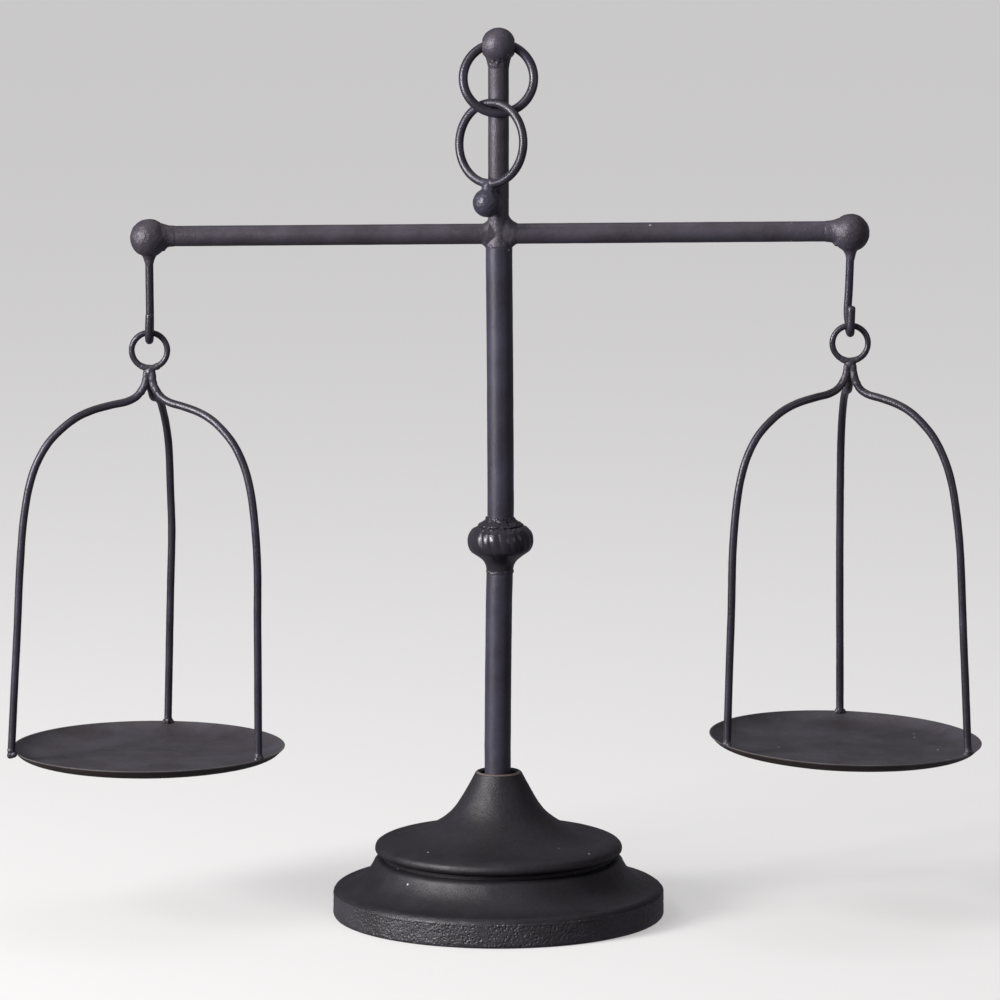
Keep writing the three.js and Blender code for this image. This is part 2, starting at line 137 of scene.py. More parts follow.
def smooth_line(points, steps=8):
    """A centripetal Catmull-Rom curve through the points."""
    p = [np.array(q, float) for q in points]
    p = [2 * p[0] - p[1]] + p + [2 * p[-1] - p[-2]]
    line = []
    for i in range(1, len(p) - 2):
        knots = [0.0]
        for a, b in zip(p[i - 1:i + 2], p[i:i + 3]):
            knots.append(knots[-1] + max(np.linalg.norm(b - a), 1e-9) ** 0.5)
        k0, k1, k2, k3 = knots
        for step in range(steps):
            t = k1 + (k2 - k1) * step / steps
            a1 = (k1 - t) / (k1 - k0) * p[i - 1] + (t - k0) / (k1 - k0) * p[i]
            a2 = (k2 - t) / (k2 - k1) * p[i] + (t - k1) / (k2 - k1) * p[i + 1]
            a3 = (k3 - t) / (k3 - k2) * p[i + 1] + (t - k2) / (k3 - k2) * p[i + 2]
            b1 = (k2 - t) / (k2 - k0) * a1 + (t - k0) / (k2 - k0) * a2
            b2 = (k3 - t) / (k3 - k1) * a2 + (t - k1) / (k3 - k1) * a3
            line.append((k2 - t) / (k2 - k1) * b1 + (t - k1) / (k2 - k1) * b2)
    line.append(p[-2])
    return np.array(line)


def straight(a, b, pitch):
    """Points on a straight line about pitch apart."""
    a, b = np.array(a, float), np.array(b, float)
    count = max(1, round(np.linalg.norm(b - a) / pitch))
    return np.array([a + (b - a) * i / count for i in range(count + 1)])


def chain(*spans):
    """Joins lines end to end and drops the doubled points."""
    points = [spans[0][0]]
    for span in spans:
        for q in span:
            if np.linalg.norm(np.array(q) - points[-1]) > 1e-6:
                points.append(np.array(q, float))
    return np.array(points)


# ---- meshes --------------------------------------------------------------------------------------

def skin(rings, looped, ends=None):
    """Faces between equal rings of points. ends are two points that close the first and last."""
    rows, sides = len(rings), len(rings[0])
    vertices = np.concatenate(rings)
    faces = []
    for i in range(rows if looped else rows - 1):
        j = (i + 1) % rows
        for k in range(sides):
            m = (k + 1) % sides
            faces.append((i * sides + k, i * sides + m, j * sides + m, j * sides + k))
    if ends is not None:
        first, last = len(vertices), len(vertices) + 1
        vertices = np.concatenate([vertices, ends])
        base = (rows - 1) * sides
        for k in range(sides):
            m = (k + 1) % sides
            faces.append((first, m, k))
            faces.append((last, base + k, base + m))
    return vertices, faces


def lathe(outline, sides):
    """Turns an outline of (radius, height) about Z. It is a loop, or runs from axis to axis."""
    outline = np.array(outline, float)
    poles = outline[0][0] < 1e-6
    if not poles and np.linalg.norm(outline[0] - outline[-1]) < 1e-6:
        outline = outline[:-1]
    body = outline[1:-1] if poles else outline
    turn = np.arange(sides) * 2 * math.pi / sides
    rings = [np.stack([r * np.cos(turn), r * np.sin(turn), np.full(sides, z)], 1)
             for r, z in body]
    ends = [[0, 0, outline[0][1]], [0, 0, outline[-1][1]]]
    return skin(rings, not poles, ends if poles else None)


def carried_normals(along):
    """One direction across the path at each point, carried along without twist."""
    across = np.cross(along[0], [0.31, 0.95, 0.07])
    across /= np.linalg.norm(across)
    normals = []
    for tangent in along:
        across = across - tangent * across.dot(tangent)
        across /= np.linalg.norm(across)
        normals.append(across.copy())
    return normals


def sweep(path, radii, sides, closed=False, edge=0.5):
    """A round wire along a path. Open ends are flat with an edge rounded to that radius."""
    path = np.array(path, float)
    count = len(path)
    radii = np.full(count, radii, float) if np.isscalar(radii) else np.array(radii, float)
    if closed:
        ahead, behind = np.roll(path, -1, 0), np.roll(path, 1, 0)
    else:
        ahead = np.concatenate([path[1:], path[-1:]])
        behind = np.concatenate([path[:1], path[:-1]])
    along = ahead - behind
    along /= np.linalg.norm(along, axis=1)[:, None]
    normals = carried_normals(along)
    turn = np.arange(sides) * 2 * math.pi / sides

    def ring(i, radius, forward=0.0):
        other = np.cross(along[i], normals[i])
        circle = np.cos(turn)[:, None] * normals[i] + np.sin(turn)[:, None] * other
        return path[i] + along[i] * forward + radius * circle

    if closed:
        return skin([ring(i, radii[i]) for i in range(count)], True)
    corner = [(edge * (1 - math.cos(a)), edge - edge * math.sin(a))
              for a in (0, math.pi / 6, math.pi / 3)]
    rings = [ring(0, radii[0] - less, forward) for forward, less in corner]
    rings += [ring(i, radii[i]) for i in range(1, count - 1)]
    rings += [ring(-1, radii[-1] - less, -forward) for forward, less in reversed(corner)]
    return skin(rings, False, [path[0], path[-1]])


def circle_path(centre, across, down, radius, count):
    """Points round a ring in the plane of two unit directions."""
    turn = np.arange(count) * 2 * math.pi / count
    across, down = np.array(across, float), np.array(down, float)
    return centre + radius * (np.cos(turn)[:, None] * across + np.sin(turn)[:, None] * down)


def ball_outline(radius, steps=40):
    turn = [math.pi * s / steps for s in range(steps + 1)]
    points = [(radius * math.sin(a), -radius * math.cos(a)) for a in turn]
    points[0], points[-1] = (0, -radius), (0, radius)
    return points


def blob(radius, centre, steps=10, sides=16):
    """A small ball."""
    return moved(lathe(ball_outline(radius, steps), sides), None, centre)


def uneven(line, share, size):
    """A factor near 1 for each point of a line, for a wire of uneven thickness."""
    return np.array([1 + share * noise.noise(Vector(p / size)) for p in line])


def lumpy(part, amount, size):
    """Moves the vertices a little, each way, by a smooth noise."""
    vertices, faces = part
    shifted = [v + amount * np.array(noise.noise_vector(Vector(v / size))) for v in vertices]
    return np.array(shifted), faces


def wander(path, amount, size, seed):
    """Lets a path stray a little from its line, as hand-bent wire does. The ends stay."""
    out = np.array(path, float)
    count = len(out)
    for i in range(count):
        hold = min(1, 4 * i / count, 4 * (count - 1 - i) / count)
        at = Vector(out[i] / size) + Vector((seed * 7.3, seed * 3.1, seed))
        out[i] = out[i] + amount * hold * np.array(noise.noise_vector(at))
    return out


def roughen(vertices, amount, size, seed=0, where=None, centre=None):
    """Moves vertices in and out from the Z axis, or from a centre, by a smooth noise."""
    out = np.array(vertices, float)
    for i, v in enumerate(out):
        share = 1 if where is None else where(v)
        if share <= 0:
            continue
        out_dir = v - centre if centre is not None else np.array([v[0], v[1], 0])
        length = np.linalg.norm(out_dir)
        if length < 1e-6:
            continue
        at = Vector(v / size) + Vector((seed * 5.7, seed * 1.9, seed))
        out[i] = v + out_dir / length * amount * share * noise.fractal(at, 0.6, 2.1, 4)
    return out


def moved(part, matrix=None, offset=(0, 0, 0)):
    """A part turned or scaled by a matrix and then shifted."""
    vertices, faces = part
    vertices = np.array(vertices, float)
    if matrix is not None:
        vertices = vertices @ np.array(matrix).T
    return vertices + np.array(offset, float), faces


def toward(direction):
    """Rotation that takes +Z to a direction."""
    turn = Vector((0, 0, 1)).rotation_difference(Vector(direction))
    return np.array(turn.to_matrix())


def link(obj):
    """Puts an object in the scene."""
    bpy.context.scene.collection.objects.link(obj)


def piece(name, part, material, body, replaces=(), crease=38):
    """Makes the object of a part, rides it on its body and hides the CAD parts it replaces."""
    vertices, faces = part
    mesh = bpy.data.meshes.new(name)
    mesh.from_pydata((np.array(vertices) * MM).tolist(), [], faces)
    work = bmesh.new()
    work.from_mesh(mesh)
    bmesh.ops.remove_doubles(work, verts=work.verts, dist=1e-7)
    bmesh.ops.recalc_face_normals(work, faces=work.faces)
    work.to_mesh(mesh)
    work.free()
    mesh.shade_smooth()
    mesh.set_sharp_from_angle(angle=math.radians(crease))
    mesh.materials.append(material)
    obj = bpy.data.objects.new(name, mesh)
    link(obj)
    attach(obj, body)
    if replaces:
        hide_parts(*replaces)
    return obj


def fused(parts, voxel=0.35, rounds=8):
    """One skin over several overlapping closed parts, rounded where they meet, as weld does."""
    vertices, faces = [], []
    for part_vertices, part_faces in parts:
        start = sum(len(v) for v in vertices)
        vertices.append(np.array(part_vertices, float))
        faces += [tuple(start + i for i in face) for face in part_faces]
    mesh = bpy.data.meshes.new("fusing")
    mesh.from_pydata((np.concatenate(vertices) * MM).tolist(), [], faces)
    work = bmesh.new()
    work.from_mesh(mesh)
    bmesh.ops.recalc_face_normals(work, faces=work.faces)
    work.to_mesh(mesh)
    work.free()
    obj = bpy.data.objects.new("fusing", mesh)
    link(obj)
    remesh = obj.modifiers.new("skin", "REMESH")
    remesh.mode = "VOXEL"
    remesh.voxel_size = voxel * MM
    soften = obj.modifiers.new("soften", "SMOOTH")
    soften.factor = 0.5
    soften.iterations = rounds
    evaluated = obj.evaluated_get(bpy.context.evaluated_depsgraph_get())
    made = evaluated.to_mesh()
    out_vertices = np.array([v.co for v in made.vertices]) / MM
    out_faces = [tuple(p.vertices) for p in made.polygons]
    evaluated.to_mesh_clear()
    bpy.data.objects.remove(obj)
    bpy.data.meshes.remove(mesh)
    return out_vertices, out_faces


def dimple(vertices, point, size, depth, inward):
    """Presses a small pit into a skin."""
    out = np.array(vertices, float)
    near = np.linalg.norm(out - np.array(point), axis=1) / size
    share = np.exp(-near ** 2 * 2)
    return out + share[:, None] * depth * np.array(inward, float)


# ---- materials -----------------------------------------------------------------------------------

class Shading:
    """One material's nodes. Textures lie in the object's own space, with scales per metre."""

    def __init__(self, name):
        self.material = bpy.data.materials.new(name)
        self.material.use_nodes = True
        self.nodes = self.material.node_tree.nodes
        self.link = self.material.node_tree.links.new
        self.shader = self.nodes["Principled BSDF"]
        self.place = self.nodes.new("ShaderNodeTexCoord").outputs["Object"]

    def grain(self, scale, detail, rough=0.55):
        """A fractal noise about 0.5."""
        node = self.nodes.new("ShaderNodeTexNoise")
        node.inputs["Scale"].default_value = scale
        node.inputs["Detail"].default_value = detail
        node.inputs["Roughness"].default_value = rough
        self.link(self.place, node.inputs["Vector"])
        return node.outputs["Fac"]

    def cells(self, scale, feature="F1"):
        """Cells with a colour each, and the distance from the middle of the nearest one."""
        node = self.nodes.new("ShaderNodeTexVoronoi")
        node.inputs["Scale"].default_value = scale
        node.feature = feature
        self.link(self.place, node.inputs["Vector"])
        return node.outputs

    def mapped(self, value, low, high, to_low, to_high):
        """Stretches low to high over to_low to to_high."""
        node = self.nodes.new("ShaderNodeMapRange")
        for socket, number in zip(("From Min", "From Max", "To Min", "To Max"),
                                  (low, high, to_low, to_high)):
            node.inputs[socket].default_value = number
        self.link(value, node.inputs["Value"])
        return node.outputs["Result"]

    def mixed(self, share, first, second):
        """Blends two colours, each a tuple or a socket."""
        node = self.nodes.new("ShaderNodeMix")
        node.data_type = "RGBA"
        self.link(share, node.inputs["Factor"])
        for socket, colour in ((node.inputs[6], first), (node.inputs[7], second)):
            if isinstance(colour, tuple):
                socket.default_value = (*colour, 1)
            else:
                self.link(colour, socket)
        return node.outputs[2]

    def product(self, first, second):
        node = self.nodes.new("ShaderNodeMath")
        node.operation = "MULTIPLY"
        self.link(first, node.inputs[0])
        self.link(second, node.inputs[1])
        return node.outputs["Value"]

    def bumped(self, layers):
        """Adds reliefs to each other. Each is a texture and a height in metres."""
        normal = None
        for value, height in layers:
            bump = self.nodes.new("ShaderNodeBump")
            bump.inputs["Strength"].default_value = 1.0
            bump.inputs["Distance"].default_value = height
            self.link(value, bump.inputs["Height"])
            if normal is not None:
                self.link(normal, bump.inputs["Normal"])
            normal = bump.outputs["Normal"]
        return normal


def paint_tone(shading, colour):
    """Mottled and dusty paint, lighter on worn edges, with painted shade that darkens the hollows.
    """
    def shade(amount, warm):
        return (colour[0] * amount * warm, colour[1] * amount, colour[2] * amount / warm)

    mottle = shading.mapped(shading.grain(45, 5), 0.36, 0.66, 0, 1)
    tone = shading.mixed(mottle, shade(0.78, 1.03), shade(1.28, 0.98))
    dust = shading.mapped(shading.grain(420, 3, 0.7), 0.55, 0.8, 0, 0.35)
    tone = shading.mixed(dust, tone, shade(1.9, 1.02))
    edges = shading.nodes.new("ShaderNodeNewGeometry").outputs["Pointiness"]
    tone = shading.mixed(shading.mapped(edges, 0.53, 0.62, 0, 0.55), tone, shade(2.6, 1.04))
    # painted shade: where pointiness is low the colour darkens, as if shade lay in the hollows
    return shading.mixed(shading.mapped(edges, 0.40, 0.48, 0.6, 0), tone, shade(0.45, 1.05))


def speck_places(shading, specks):
    """The middles of a few cells. More specks choose more cells."""
    cells = shading.cells(165)
    split = shading.nodes.new("ShaderNodeSeparateColor")
    shading.link(cells["Color"], split.inputs["Color"])
    limit = 0.975 - 0.02 * specks
    chosen = shading.mapped(split.outputs["Red"], limit, limit + 0.01, 0, 1)
    return shading.product(chosen, shading.mapped(cells["Distance"], 0.06, 0.14, 1, 0))


def painted_iron(name, colour, roughness, grain=0.00012, cast=0.0, pits=0.0, specks=0.5,
                 metallic=0.15):
    """Dark paint over iron with a fine orange peel, a cast texture, pits and pale specks.
    grain, cast and pits are heights in metres."""
    shading = Shading(name)
    inputs = shading.shader.inputs
    inputs["Metallic"].default_value = metallic
    tone = paint_tone(shading, colour)
    tone = shading.mixed(speck_places(shading, specks), tone, (0.42, 0.40, 0.40))
    shading.link(tone, inputs["Base Color"])
    gloss = shading.mapped(shading.grain(70, 4), 0.3, 0.7, roughness - 0.06, roughness + 0.08)
    shading.link(gloss, inputs["Roughness"])
    layers = [(shading.grain(1500, 3, 0.6), grain)]
    if cast:
        layers.append((shading.grain(260, 6, 0.65), cast))
    if pits:
        holes = shading.cells(620, "SMOOTH_F1")["Distance"]
        layers.append((shading.mapped(holes, 0.1, 0.45, 0, 1), pits))
    shading.link(shading.bumped(layers), inputs["Normal"])
    return shading.material


cast_iron = painted_iron("cast_iron_black", (0.0120, 0.0095, 0.0135), 0.50, grain=0.00022,
                         cast=0.00014, specks=0.8)
rough_cast = painted_iron("cast_iron_rough", (0.036, 0.032, 0.038), 0.42, cast=0.0006,
                          pits=0.0004, specks=1.0)
tube_iron = painted_iron("tube_iron", (0.037, 0.034, 0.050), 0.40, cast=0.0001)
rod_iron = painted_iron("rod_iron", (0.056, 0.047, 0.061), 0.42, grain=0.0002, cast=0.00032,
                        metallic=0.25)
wire_iron = painted_iron("wire_iron", (0.034, 0.030, 0.041), 0.30, cast=0.0001, metallic=0.3)
pan_iron = painted_iron("pan_iron", (0.045, 0.039, 0.047), 0.50, cast=0.00022, specks=0.8)
# painted shade and a painted reflection: a darker warm brown under the pans, standing for shade and
# the glow of a wooden table below
bottom_shade_and_reflection = painted_iron("pan_bottom_painted_shade_and_reflection", (0.026, 0.0165, 0.0125), 0.58, cast=0.0002)
# a lighter band round the pan's edge: partly wear, partly a painted highlight for the bright line
# along the rim
rim_wear_and_highlight = painted_iron("pan_rim_wear_and_painted_highlight", (0.115, 0.100, 0.098), 0.46, cast=0.0002)
# a painted highlight: a lighter brownish band on the front of the collar's lip, where the light
# catches it
collar_lip_highlight = painted_iron("collar_lip_painted_highlight", (0.105, 0.083, 0.070), 0.5, cast=0.0003)
bead_iron = painted_iron("bead_iron", (0.034, 0.030, 0.039), 0.25, grain=0.00006, cast=0.0001,
                         metallic=0.4)
weld_iron = painted_iron("weld_iron", (0.040, 0.034, 0.044), 0.38, cast=0.0003, specks=1.0)
zinc_steel = painted_iron("zinc_steel", (0.42, 0.43, 0.45), 0.38, metallic=0.9, specks=0.0)


# ---- base ----------------------------------------------------------------------------------------

def foot_casting():
    """The broad foot: a rough upright side, a round edge, and a hollow curve up to the step."""
    side_radius = radius_of("base_foot")
    top = low_high("base_foot")[1][2]
    boss = low_high("tie_washer")[1][2] + GAP
    outline = chain(
        straight((ROD_HOLE_RADIUS, boss), (12, boss), 3),
        smooth_line([(12, boss), (12.6, boss + 3), (15, 27.4), (20, 28)], 4),
        straight((20, 28), (60, 28), 6),
        smooth_line([(60, 28), (66, 25.4), (72, 20), (84, 11), (87.4, 8.2), (88, 6)], 6),
        straight((88, 6), (88, 0), 2),
        straight((88, 0), (98.9, 0), 3),
        smooth_line([(98.9, 0), (99.9, 0.3), (side_radius - 0.15, 1.6)], 4),
        straight((side_radius - 0.15, 1.6), (side_radius - 0.35, 13.2), 0.8),
        smooth_line([
            (side_radius - 0.35, 13.2), (side_radius - 0.25, 14.3), (side_radius - 0.9, 15.8),
            (side_radius - 2.6, 17.3), (96.3, 17.9), (95.2, 18.0),
        ], 5),
        smooth_line([
            (95.2, 18.0), (93.4, 18.4), (91.5, 18.9), (87, 20.7), (82.5, 23.7), (79, 27.4),
            (76.6, 31.2), (75.4, 33.6), (73.6, top - 0.15), (70, top),
        ], 7),
        straight((70, top), (ROD_HOLE_RADIUS, top), 8),
        straight((ROD_HOLE_RADIUS, top), (ROD_HOLE_RADIUS, boss), 4),
    )
    vertices, faces = lathe(outline, 360)

    def on_side(v):
        return 1.0 if math.hypot(v[0], v[1]) > 98.2 and 0.4 < v[2] < 16.5 else 0.0

    def mostly_above(v):
        return 1.0 if v[2] > 14 else 0.4

    vertices = roughen(vertices, 0.26, 1.9, 3, on_side)
    return roughen(vertices, 0.16, 14, 5, mostly_above), faces


def bell_casting():
    """The bell: an undercut foot, a round lip, a swept shoulder and an open collar."""
    foot = low_high("base_bell")[0][2]
    collar = low_high("base_bell")[1][2]
    socket = low_high("lower_post")[0][2] - GAP
    outline = chain(
        straight((63, foot), (70.4, foot), 3),
        smooth_line([(70.4, foot), (70.6, 36.6), (70.9, 37.9), (72.2, 38.5)], 4),
        smooth_line([
            (72.2, 38.5), (74.1, 39.1), (75.05, 40.4), (75.15, 42), (74.5, 43.6), (72.6, 45),
            (68.5, 46.4), (62, 47.4), (56, 48.6), (50, 50.4), (44, 52.9), (38, 56.3),
            (33, 59.8), (28.6, 63.8), (24.9, 68.5), (21.8, 73.5), (18.9, 78.6), (16.5, 83),
            (15, 86), (14.2, 87.6), (13.1, collar - 0.05), (12.1, collar - 0.25),
            (11.3, collar - 1), (10.9, collar - 2.2),
        ], 6),
        straight((10.9, collar - 2.2), (10.9, socket), 2),
        straight((10.9, socket), (ROD_HOLE_RADIUS, socket), 3),
        straight((ROD_HOLE_RADIUS, socket), (ROD_HOLE_RADIUS, 73), 4),
        smooth_line([(ROD_HOLE_RADIUS, 73), (10, 72.6), (18, 65.5), (25, 57.5), (35, 49.8),
                     (48, 44), (63, 40.6)], 4),
        straight((63, 40.6), (63, foot), 2),
    )
    vertices, faces = lathe(outline, 240)
    return roughen(vertices, 0.16, 13, 8), faces


def paint(obj, material, chosen):
    """Gives a second material to the faces whose centre and normal the test picks."""
    obj.data.materials.append(material)
    slot = len(obj.data.materials) - 1
    for polygon in obj.data.polygons:
        if chosen(*(polygon.center / MM), polygon.normal):
            polygon.material_index = slot


def on_foot_side(x, y, z, normal):
    return math.hypot(x, y) > 98.4 and z < 15


# the front half of the collar's lip, which gets the painted highlight
def on_collar_lip(x, y, z, normal):
    return z > lip_height and y < 0 and math.hypot(x, y) > 11.4


lip_height = low_high("base_bell")[1][2] - 0.75
foot = piece("foot_casting", foot_casting(), cast_iron, "stand", ["base_foot"])
paint(foot, rough_cast, on_foot_side)
bell = piece("bell_casting", bell_casting(), cast_iron, "stand", ["base_bell"])
# painted highlight on the front half of the collar's lip
paint(bell, collar_lip_highlight, on_collar_lip)


# ---- post ----------------------------------------------------------------------------------------

def post_tube(node, seed, cut=0.4):
    """A length of tube, with its four corners cut off."""
    low, high = low_high(node)
    bottom, top = low[2], high[2]
    inner, outer = POST_BORE, POST_RADIUS
    corners = [(inner, bottom + cut), (inner + cut, bottom), (outer - cut, bottom),
               (outer, bottom + cut), (outer, top - cut), (outer - cut, top),
               (inner + cut, top), (inner, top - cut), (inner, bottom + cut)]
    pitches = [1, 1, 1, 3, 1, 1, 1, 12]
    outline = chain(*[straight(a, b, pitch)
                      for a, b, pitch in zip(corners, corners[1:], pitches)])
    vertices, faces = lathe(outline, 72)

    def on_outside(v):
        return 1.0 if math.hypot(v[0], v[1]) > POST_RADIUS - 0.1 else 0.0

    return roughen(vertices, 0.07, 9, seed, on_outside), faces


def bead_outline():
    """The bead with its two spigots. It is widest a little above its middle."""
    bottom = low_high("lower_post")[1][2] + GAP
    top = low_high("upper_post")[0][2] - GAP
    hole, spigot, reach = ROD_HOLE_RADIUS, SPIGOT_RADIUS, SPIGOT_LENGTH
    return chain(
        straight((hole, bottom - reach), (spigot, bottom - reach), 2),
        straight((spigot, bottom - reach), (spigot, bottom), 2),
        straight((spigot, bottom), (8.1, bottom), 1),
        smooth_line([
            (8.1, bottom), (8.2, 213.2), (8.9, 215.9), (10.6, 218.5), (14.3, 221.4),
            (17.9, 224.2), (19.35, 227.2), (19.8, 230.4), (19.45, 233.4), (18, 236.3),
            (15.4, 238.4), (12.2, 239.9), (9.6, 241.4), (8.4, top),
        ], 6),
        straight((8.4, top), (spigot, top), 1),
        straight((spigot, top), (spigot, top + reach), 2),
        straight((spigot, top + reach), (hole, top + reach), 2),
        straight((hole, top + reach), (hole, bottom - reach), 6),
    )


def lobe_depth(angle, z):
    """How far in the groove between two lobes goes. The lobes lean a little and are uneven."""
    wave = abs(math.sin(LOBES / 2 * (angle + 0.012 * (z - 230))))
    share = 0.75 + 0.5 * noise.noise(Vector((3 * math.cos(angle), 3 * math.sin(angle), 4)))
    widest = math.exp(-((z - 231.5) / 5.2) ** 2)
    return (1 - wave ** 0.75) * (0.12 + 0.72 * widest) * share


def fluted_bead():
    """A bead with lobes that are deepest where it is widest, and a rough upper shoulder."""
    vertices, faces = lathe(bead_outline(), LOBES * 16)
    out = vertices.copy()
    for i, (x, y, z) in enumerate(vertices):
        r = math.hypot(x, y)
        if r <= 7:
            continue
        fade = min(1, max(0, (r - 9.8) / 6.5))
        fade = fade * fade * (3 - 2 * fade)
        groove = lobe_depth(math.atan2(y, x), z) * fade
        sag = 0.5 * fade * noise.noise(Vector((x / 14, y / 14, z / 14 + 9)))
        shoulder = min(1, max(0, (z - 235.5) / 3))
        rough = 0.7 * noise.fractal(Vector((x / 2.3, y / 2.3, z / 2.3)), 0.6, 2.1, 3) * shoulder
        grown = (r - groove + sag + rough) / r
        out[i] = (x * grown, y * grown, z + 0.35 * fade * x / 20)
    return out, faces


def crooked(part):
    """Bends the post a little sideways, as it stands in life. The mast above it is straight."""
    vertices, faces = part
    out = np.array(vertices, float)
    out[:, 0] += np.interp(out[:, 2], CROOK_HEIGHTS, CROOK_SHIFTS)
    return out, faces


def weld_round(height, section, rough, seed):
    """A run of weld round the post. Its section is a loop of (radius, distance above a height)."""
    ring = smooth_line([(r, height + z) for r, z in section], 4)
    vertices, faces = lathe(list(ring) + [ring[0]], 120)
    vertices = roughen(vertices, rough, 5.5, seed)
    return roughen(vertices, rough, 1.9, seed + 3), faces


for tube, node, seed in [("lower_tube", "lower_post", 2), ("upper_tube", "upper_post", 6)]:
    piece(tube, crooked(post_tube(node, seed)), tube_iron, "stand", [node])
piece("bead", crooked(fluted_bead()), bead_iron, "stand", ["fluted_bead"], 60)
low_weld = weld_round(low_high("lower_post")[1][2], [
    (7.0, -0.5), (7.9, -0.4), (8.2, 0.5), (8.05, 1.8), (7.0, 2.2)], 0.3, 1)
high_weld = weld_round(low_high("upper_post")[0][2], [
    (7.2, 1.9), (8.2, 1.5), (8.8, 0.5), (9.9, -0.9), (11.8, -2.2), (13.6, -3.3), (12.6, -4.6),
    (9, -3.6), (7.2, -2.5)], 0.7, 5)
piece("bead_weld_low", crooked(low_weld), weld_iron, "stand", crease=180)
piece("bead_weld_high", crooked(high_weld), bead_iron, "stand", crease=180)


# ---- mast, finial, beam --------------------------------------------------------------------------

finial_centre = middle("finial_ball")
finial_radius = (low_high("finial_ball")[1][1] - low_high("finial_ball")[0][1]) / 2


def mast_rod():
    low, high = low_high("mast")
    path = straight((0, 0, low[2]), (0, 0, high[2] - 0.2), 3)
    vertices, faces = sweep(path, MAST_RADIUS, 64)
    return roughen(vertices, 0.07, 8, 11), faces


def finial_ball():
    """A ball with a hole across it for the upper ring, wider inside. It is turned about X."""
    radius = finial_radius + FINIAL_SWELL
    mouth = math.asin(MOUTH_RADIUS / radius)
    start, steps = mouth + 0.03, 48
    arc = [start + (math.pi - 2 * start) * s / steps for s in range(steps + 1)]
    sphere = [(radius * math.sin(a), -radius * math.cos(a)) for a in arc]
    hole_end = radius * math.cos(mouth) - 0.2
    outline = chain([(MOUTH_RADIUS, -hole_end)], sphere, [(MOUTH_RADIUS, hole_end)],
                    straight((MOUTH_RADIUS, hole_end), (MOUTH_RADIUS, -hole_end), 0.8))
    vertices, faces = moved(lathe(outline, 72), toward((1, 0, 0)))
    for i, v in enumerate(vertices):
        out = math.hypot(v[1], v[2])
        if out > MOUTH_RADIUS + 0.01:
            vertices[i] = v + MOUTH_OFFSET * max(0, 1 - (out - MOUTH_RADIUS) / 3)
            continue
        inside = min(1, max(0, (hole_end - 0.3 - abs(v[0])) / 1.5))
        vertices[i, 1:] *= 1 + (CHAMBER_RADIUS / MOUTH_RADIUS - 1) * inside
        vertices[i] += MOUTH_OFFSET + (CHAMBER_OFFSET - MOUTH_OFFSET) * inside
    vertices = vertices + finial_centre + (0, 0, FINIAL_LOWER)

    def on_sphere(v):
        return 1.0 if np.linalg.norm(v - finial_centre) > radius - 0.8 else 0.0

    return roughen(vertices, 0.14, 6, 2, on_sphere, finial_centre), faces


def trumpet(start, direction, stations, seed, sides=40, lump=0.2):
    """A flared collar of weld. stations are (distance along, radius)."""
    direction = np.array(direction, float) / np.linalg.norm(direction)
    line = smooth_line([(d, r, 0) for d, r in stations], 6)
    path = np.array(start) + line[:, :1] * direction
    vertices, faces = sweep(path, line[:, 1], sides, edge=0.1)
    out = vertices.copy()
    for i, v in enumerate(vertices):
        away = v - np.array(start)
        away = away - direction * away.dot(direction)
        length = np.linalg.norm(away)
        if length > 1e-6:
            at = Vector(v / 3.2) + Vector((seed, 2 * seed, 0))
            out[i] = v + away / length * lump * noise.fractal(at, 0.6, 2.1, 3)
    return out, faces


def finial_flare():
    """The weld under the finial, with five pits in its front."""
    flare = [(5.2, 8.5), (6.5, 8.1), (8, 7.55), (9.5, 7.05), (11, 6.7), (13, 6.4), (14.5, 6.1)]
    vertices, faces = trumpet(finial_centre, (0, 0, -1), flare, 4, sides=96)
    for x, z, size, depth in [
        (-1.8, -9.2, 1.2, 1.2), (1.6, -10.8, 1.5, 1.4), (3.8, -9.0, 1.0, 0.9),
        (-4.8, -10.4, 0.9, 0.7), (1.4, -8.0, 0.8, 0.8),
    ]:
        pit = finial_centre + (x, -math.sqrt(7.1 ** 2 - x * x), z)
        vertices = dimple(vertices, pit, size, depth, (-x / 7, 0.9, 0))
    return vertices, faces


def place_beam():
    """Adds each side's ball, its direction outwards and both ends of its arm to SIDES."""
    across = middle("right_end_ball") - middle("left_end_ball")
    across /= np.linalg.norm(across)
    for name, side in SIDES.items():
        ball = middle(f"{name}_end_ball")
        axis_end = ball + (0, 0, END_BALL_DROP)
        root = np.array([0, 0, axis_end[2] - across[2] / across[0] * axis_end[0]])
        side.update(ball=ball, ball_radius=radius_of(f"{name}_end_ball"), root=root,
                    axis_end=axis_end, outward=across if name == "right" else -across)


def beam_arm(side):
    """One arm of the beam, from inside the mast's wall to inside the ball."""
    start = side["root"] + side["outward"] * (MAST_RADIUS - 0.8)
    end = side["axis_end"] - side["outward"] * (side["ball_radius"] - 2)
    return lumpy(sweep(straight(start, end, 3), BEAM_RADIUS, 64), 0.06, 9)


def end_ball(side, seed):
    """The ball with the weld that joins it to the beam and to the hook, as one skin."""
    centre, inward = side["ball"], -side["outward"]
    flare = [(5, 8.2), (7.5, 7.9), (8.8, 7.5), (10, 7.1), (11.4, 6.75), (13, 6.5), (15, 6.3),
             (16.8, 5.85)]
    cone = [(6, 5.6), (9.6, 5.1), (10.8, 4.3), (12, 3.65), (13.6, 3.1), (15.4, 2.75), (17, 2.25)]
    parts = [
        blob(side["ball_radius"], centre, 40, 72),
        trumpet(side["axis_end"], inward, flare, seed, lump=0.12),
        trumpet(centre, (0, 0, -1), cone, seed + 2, 28, 0.25),
    ]
    for along, forth, down, size in [(8.6, -2.5, 6.2, 1.7), (9.4, 1.5, 5.6, 1.6),
                                     (10.4, -1.0, 4.9, 1.2)]:
        parts.append(blob(size, centre + inward * along + np.array([0, forth, -down])))
    vertices, faces = fused(parts, 0.38, 5)
    return roughen(vertices, 0.22, 6, seed, centre=centre), faces


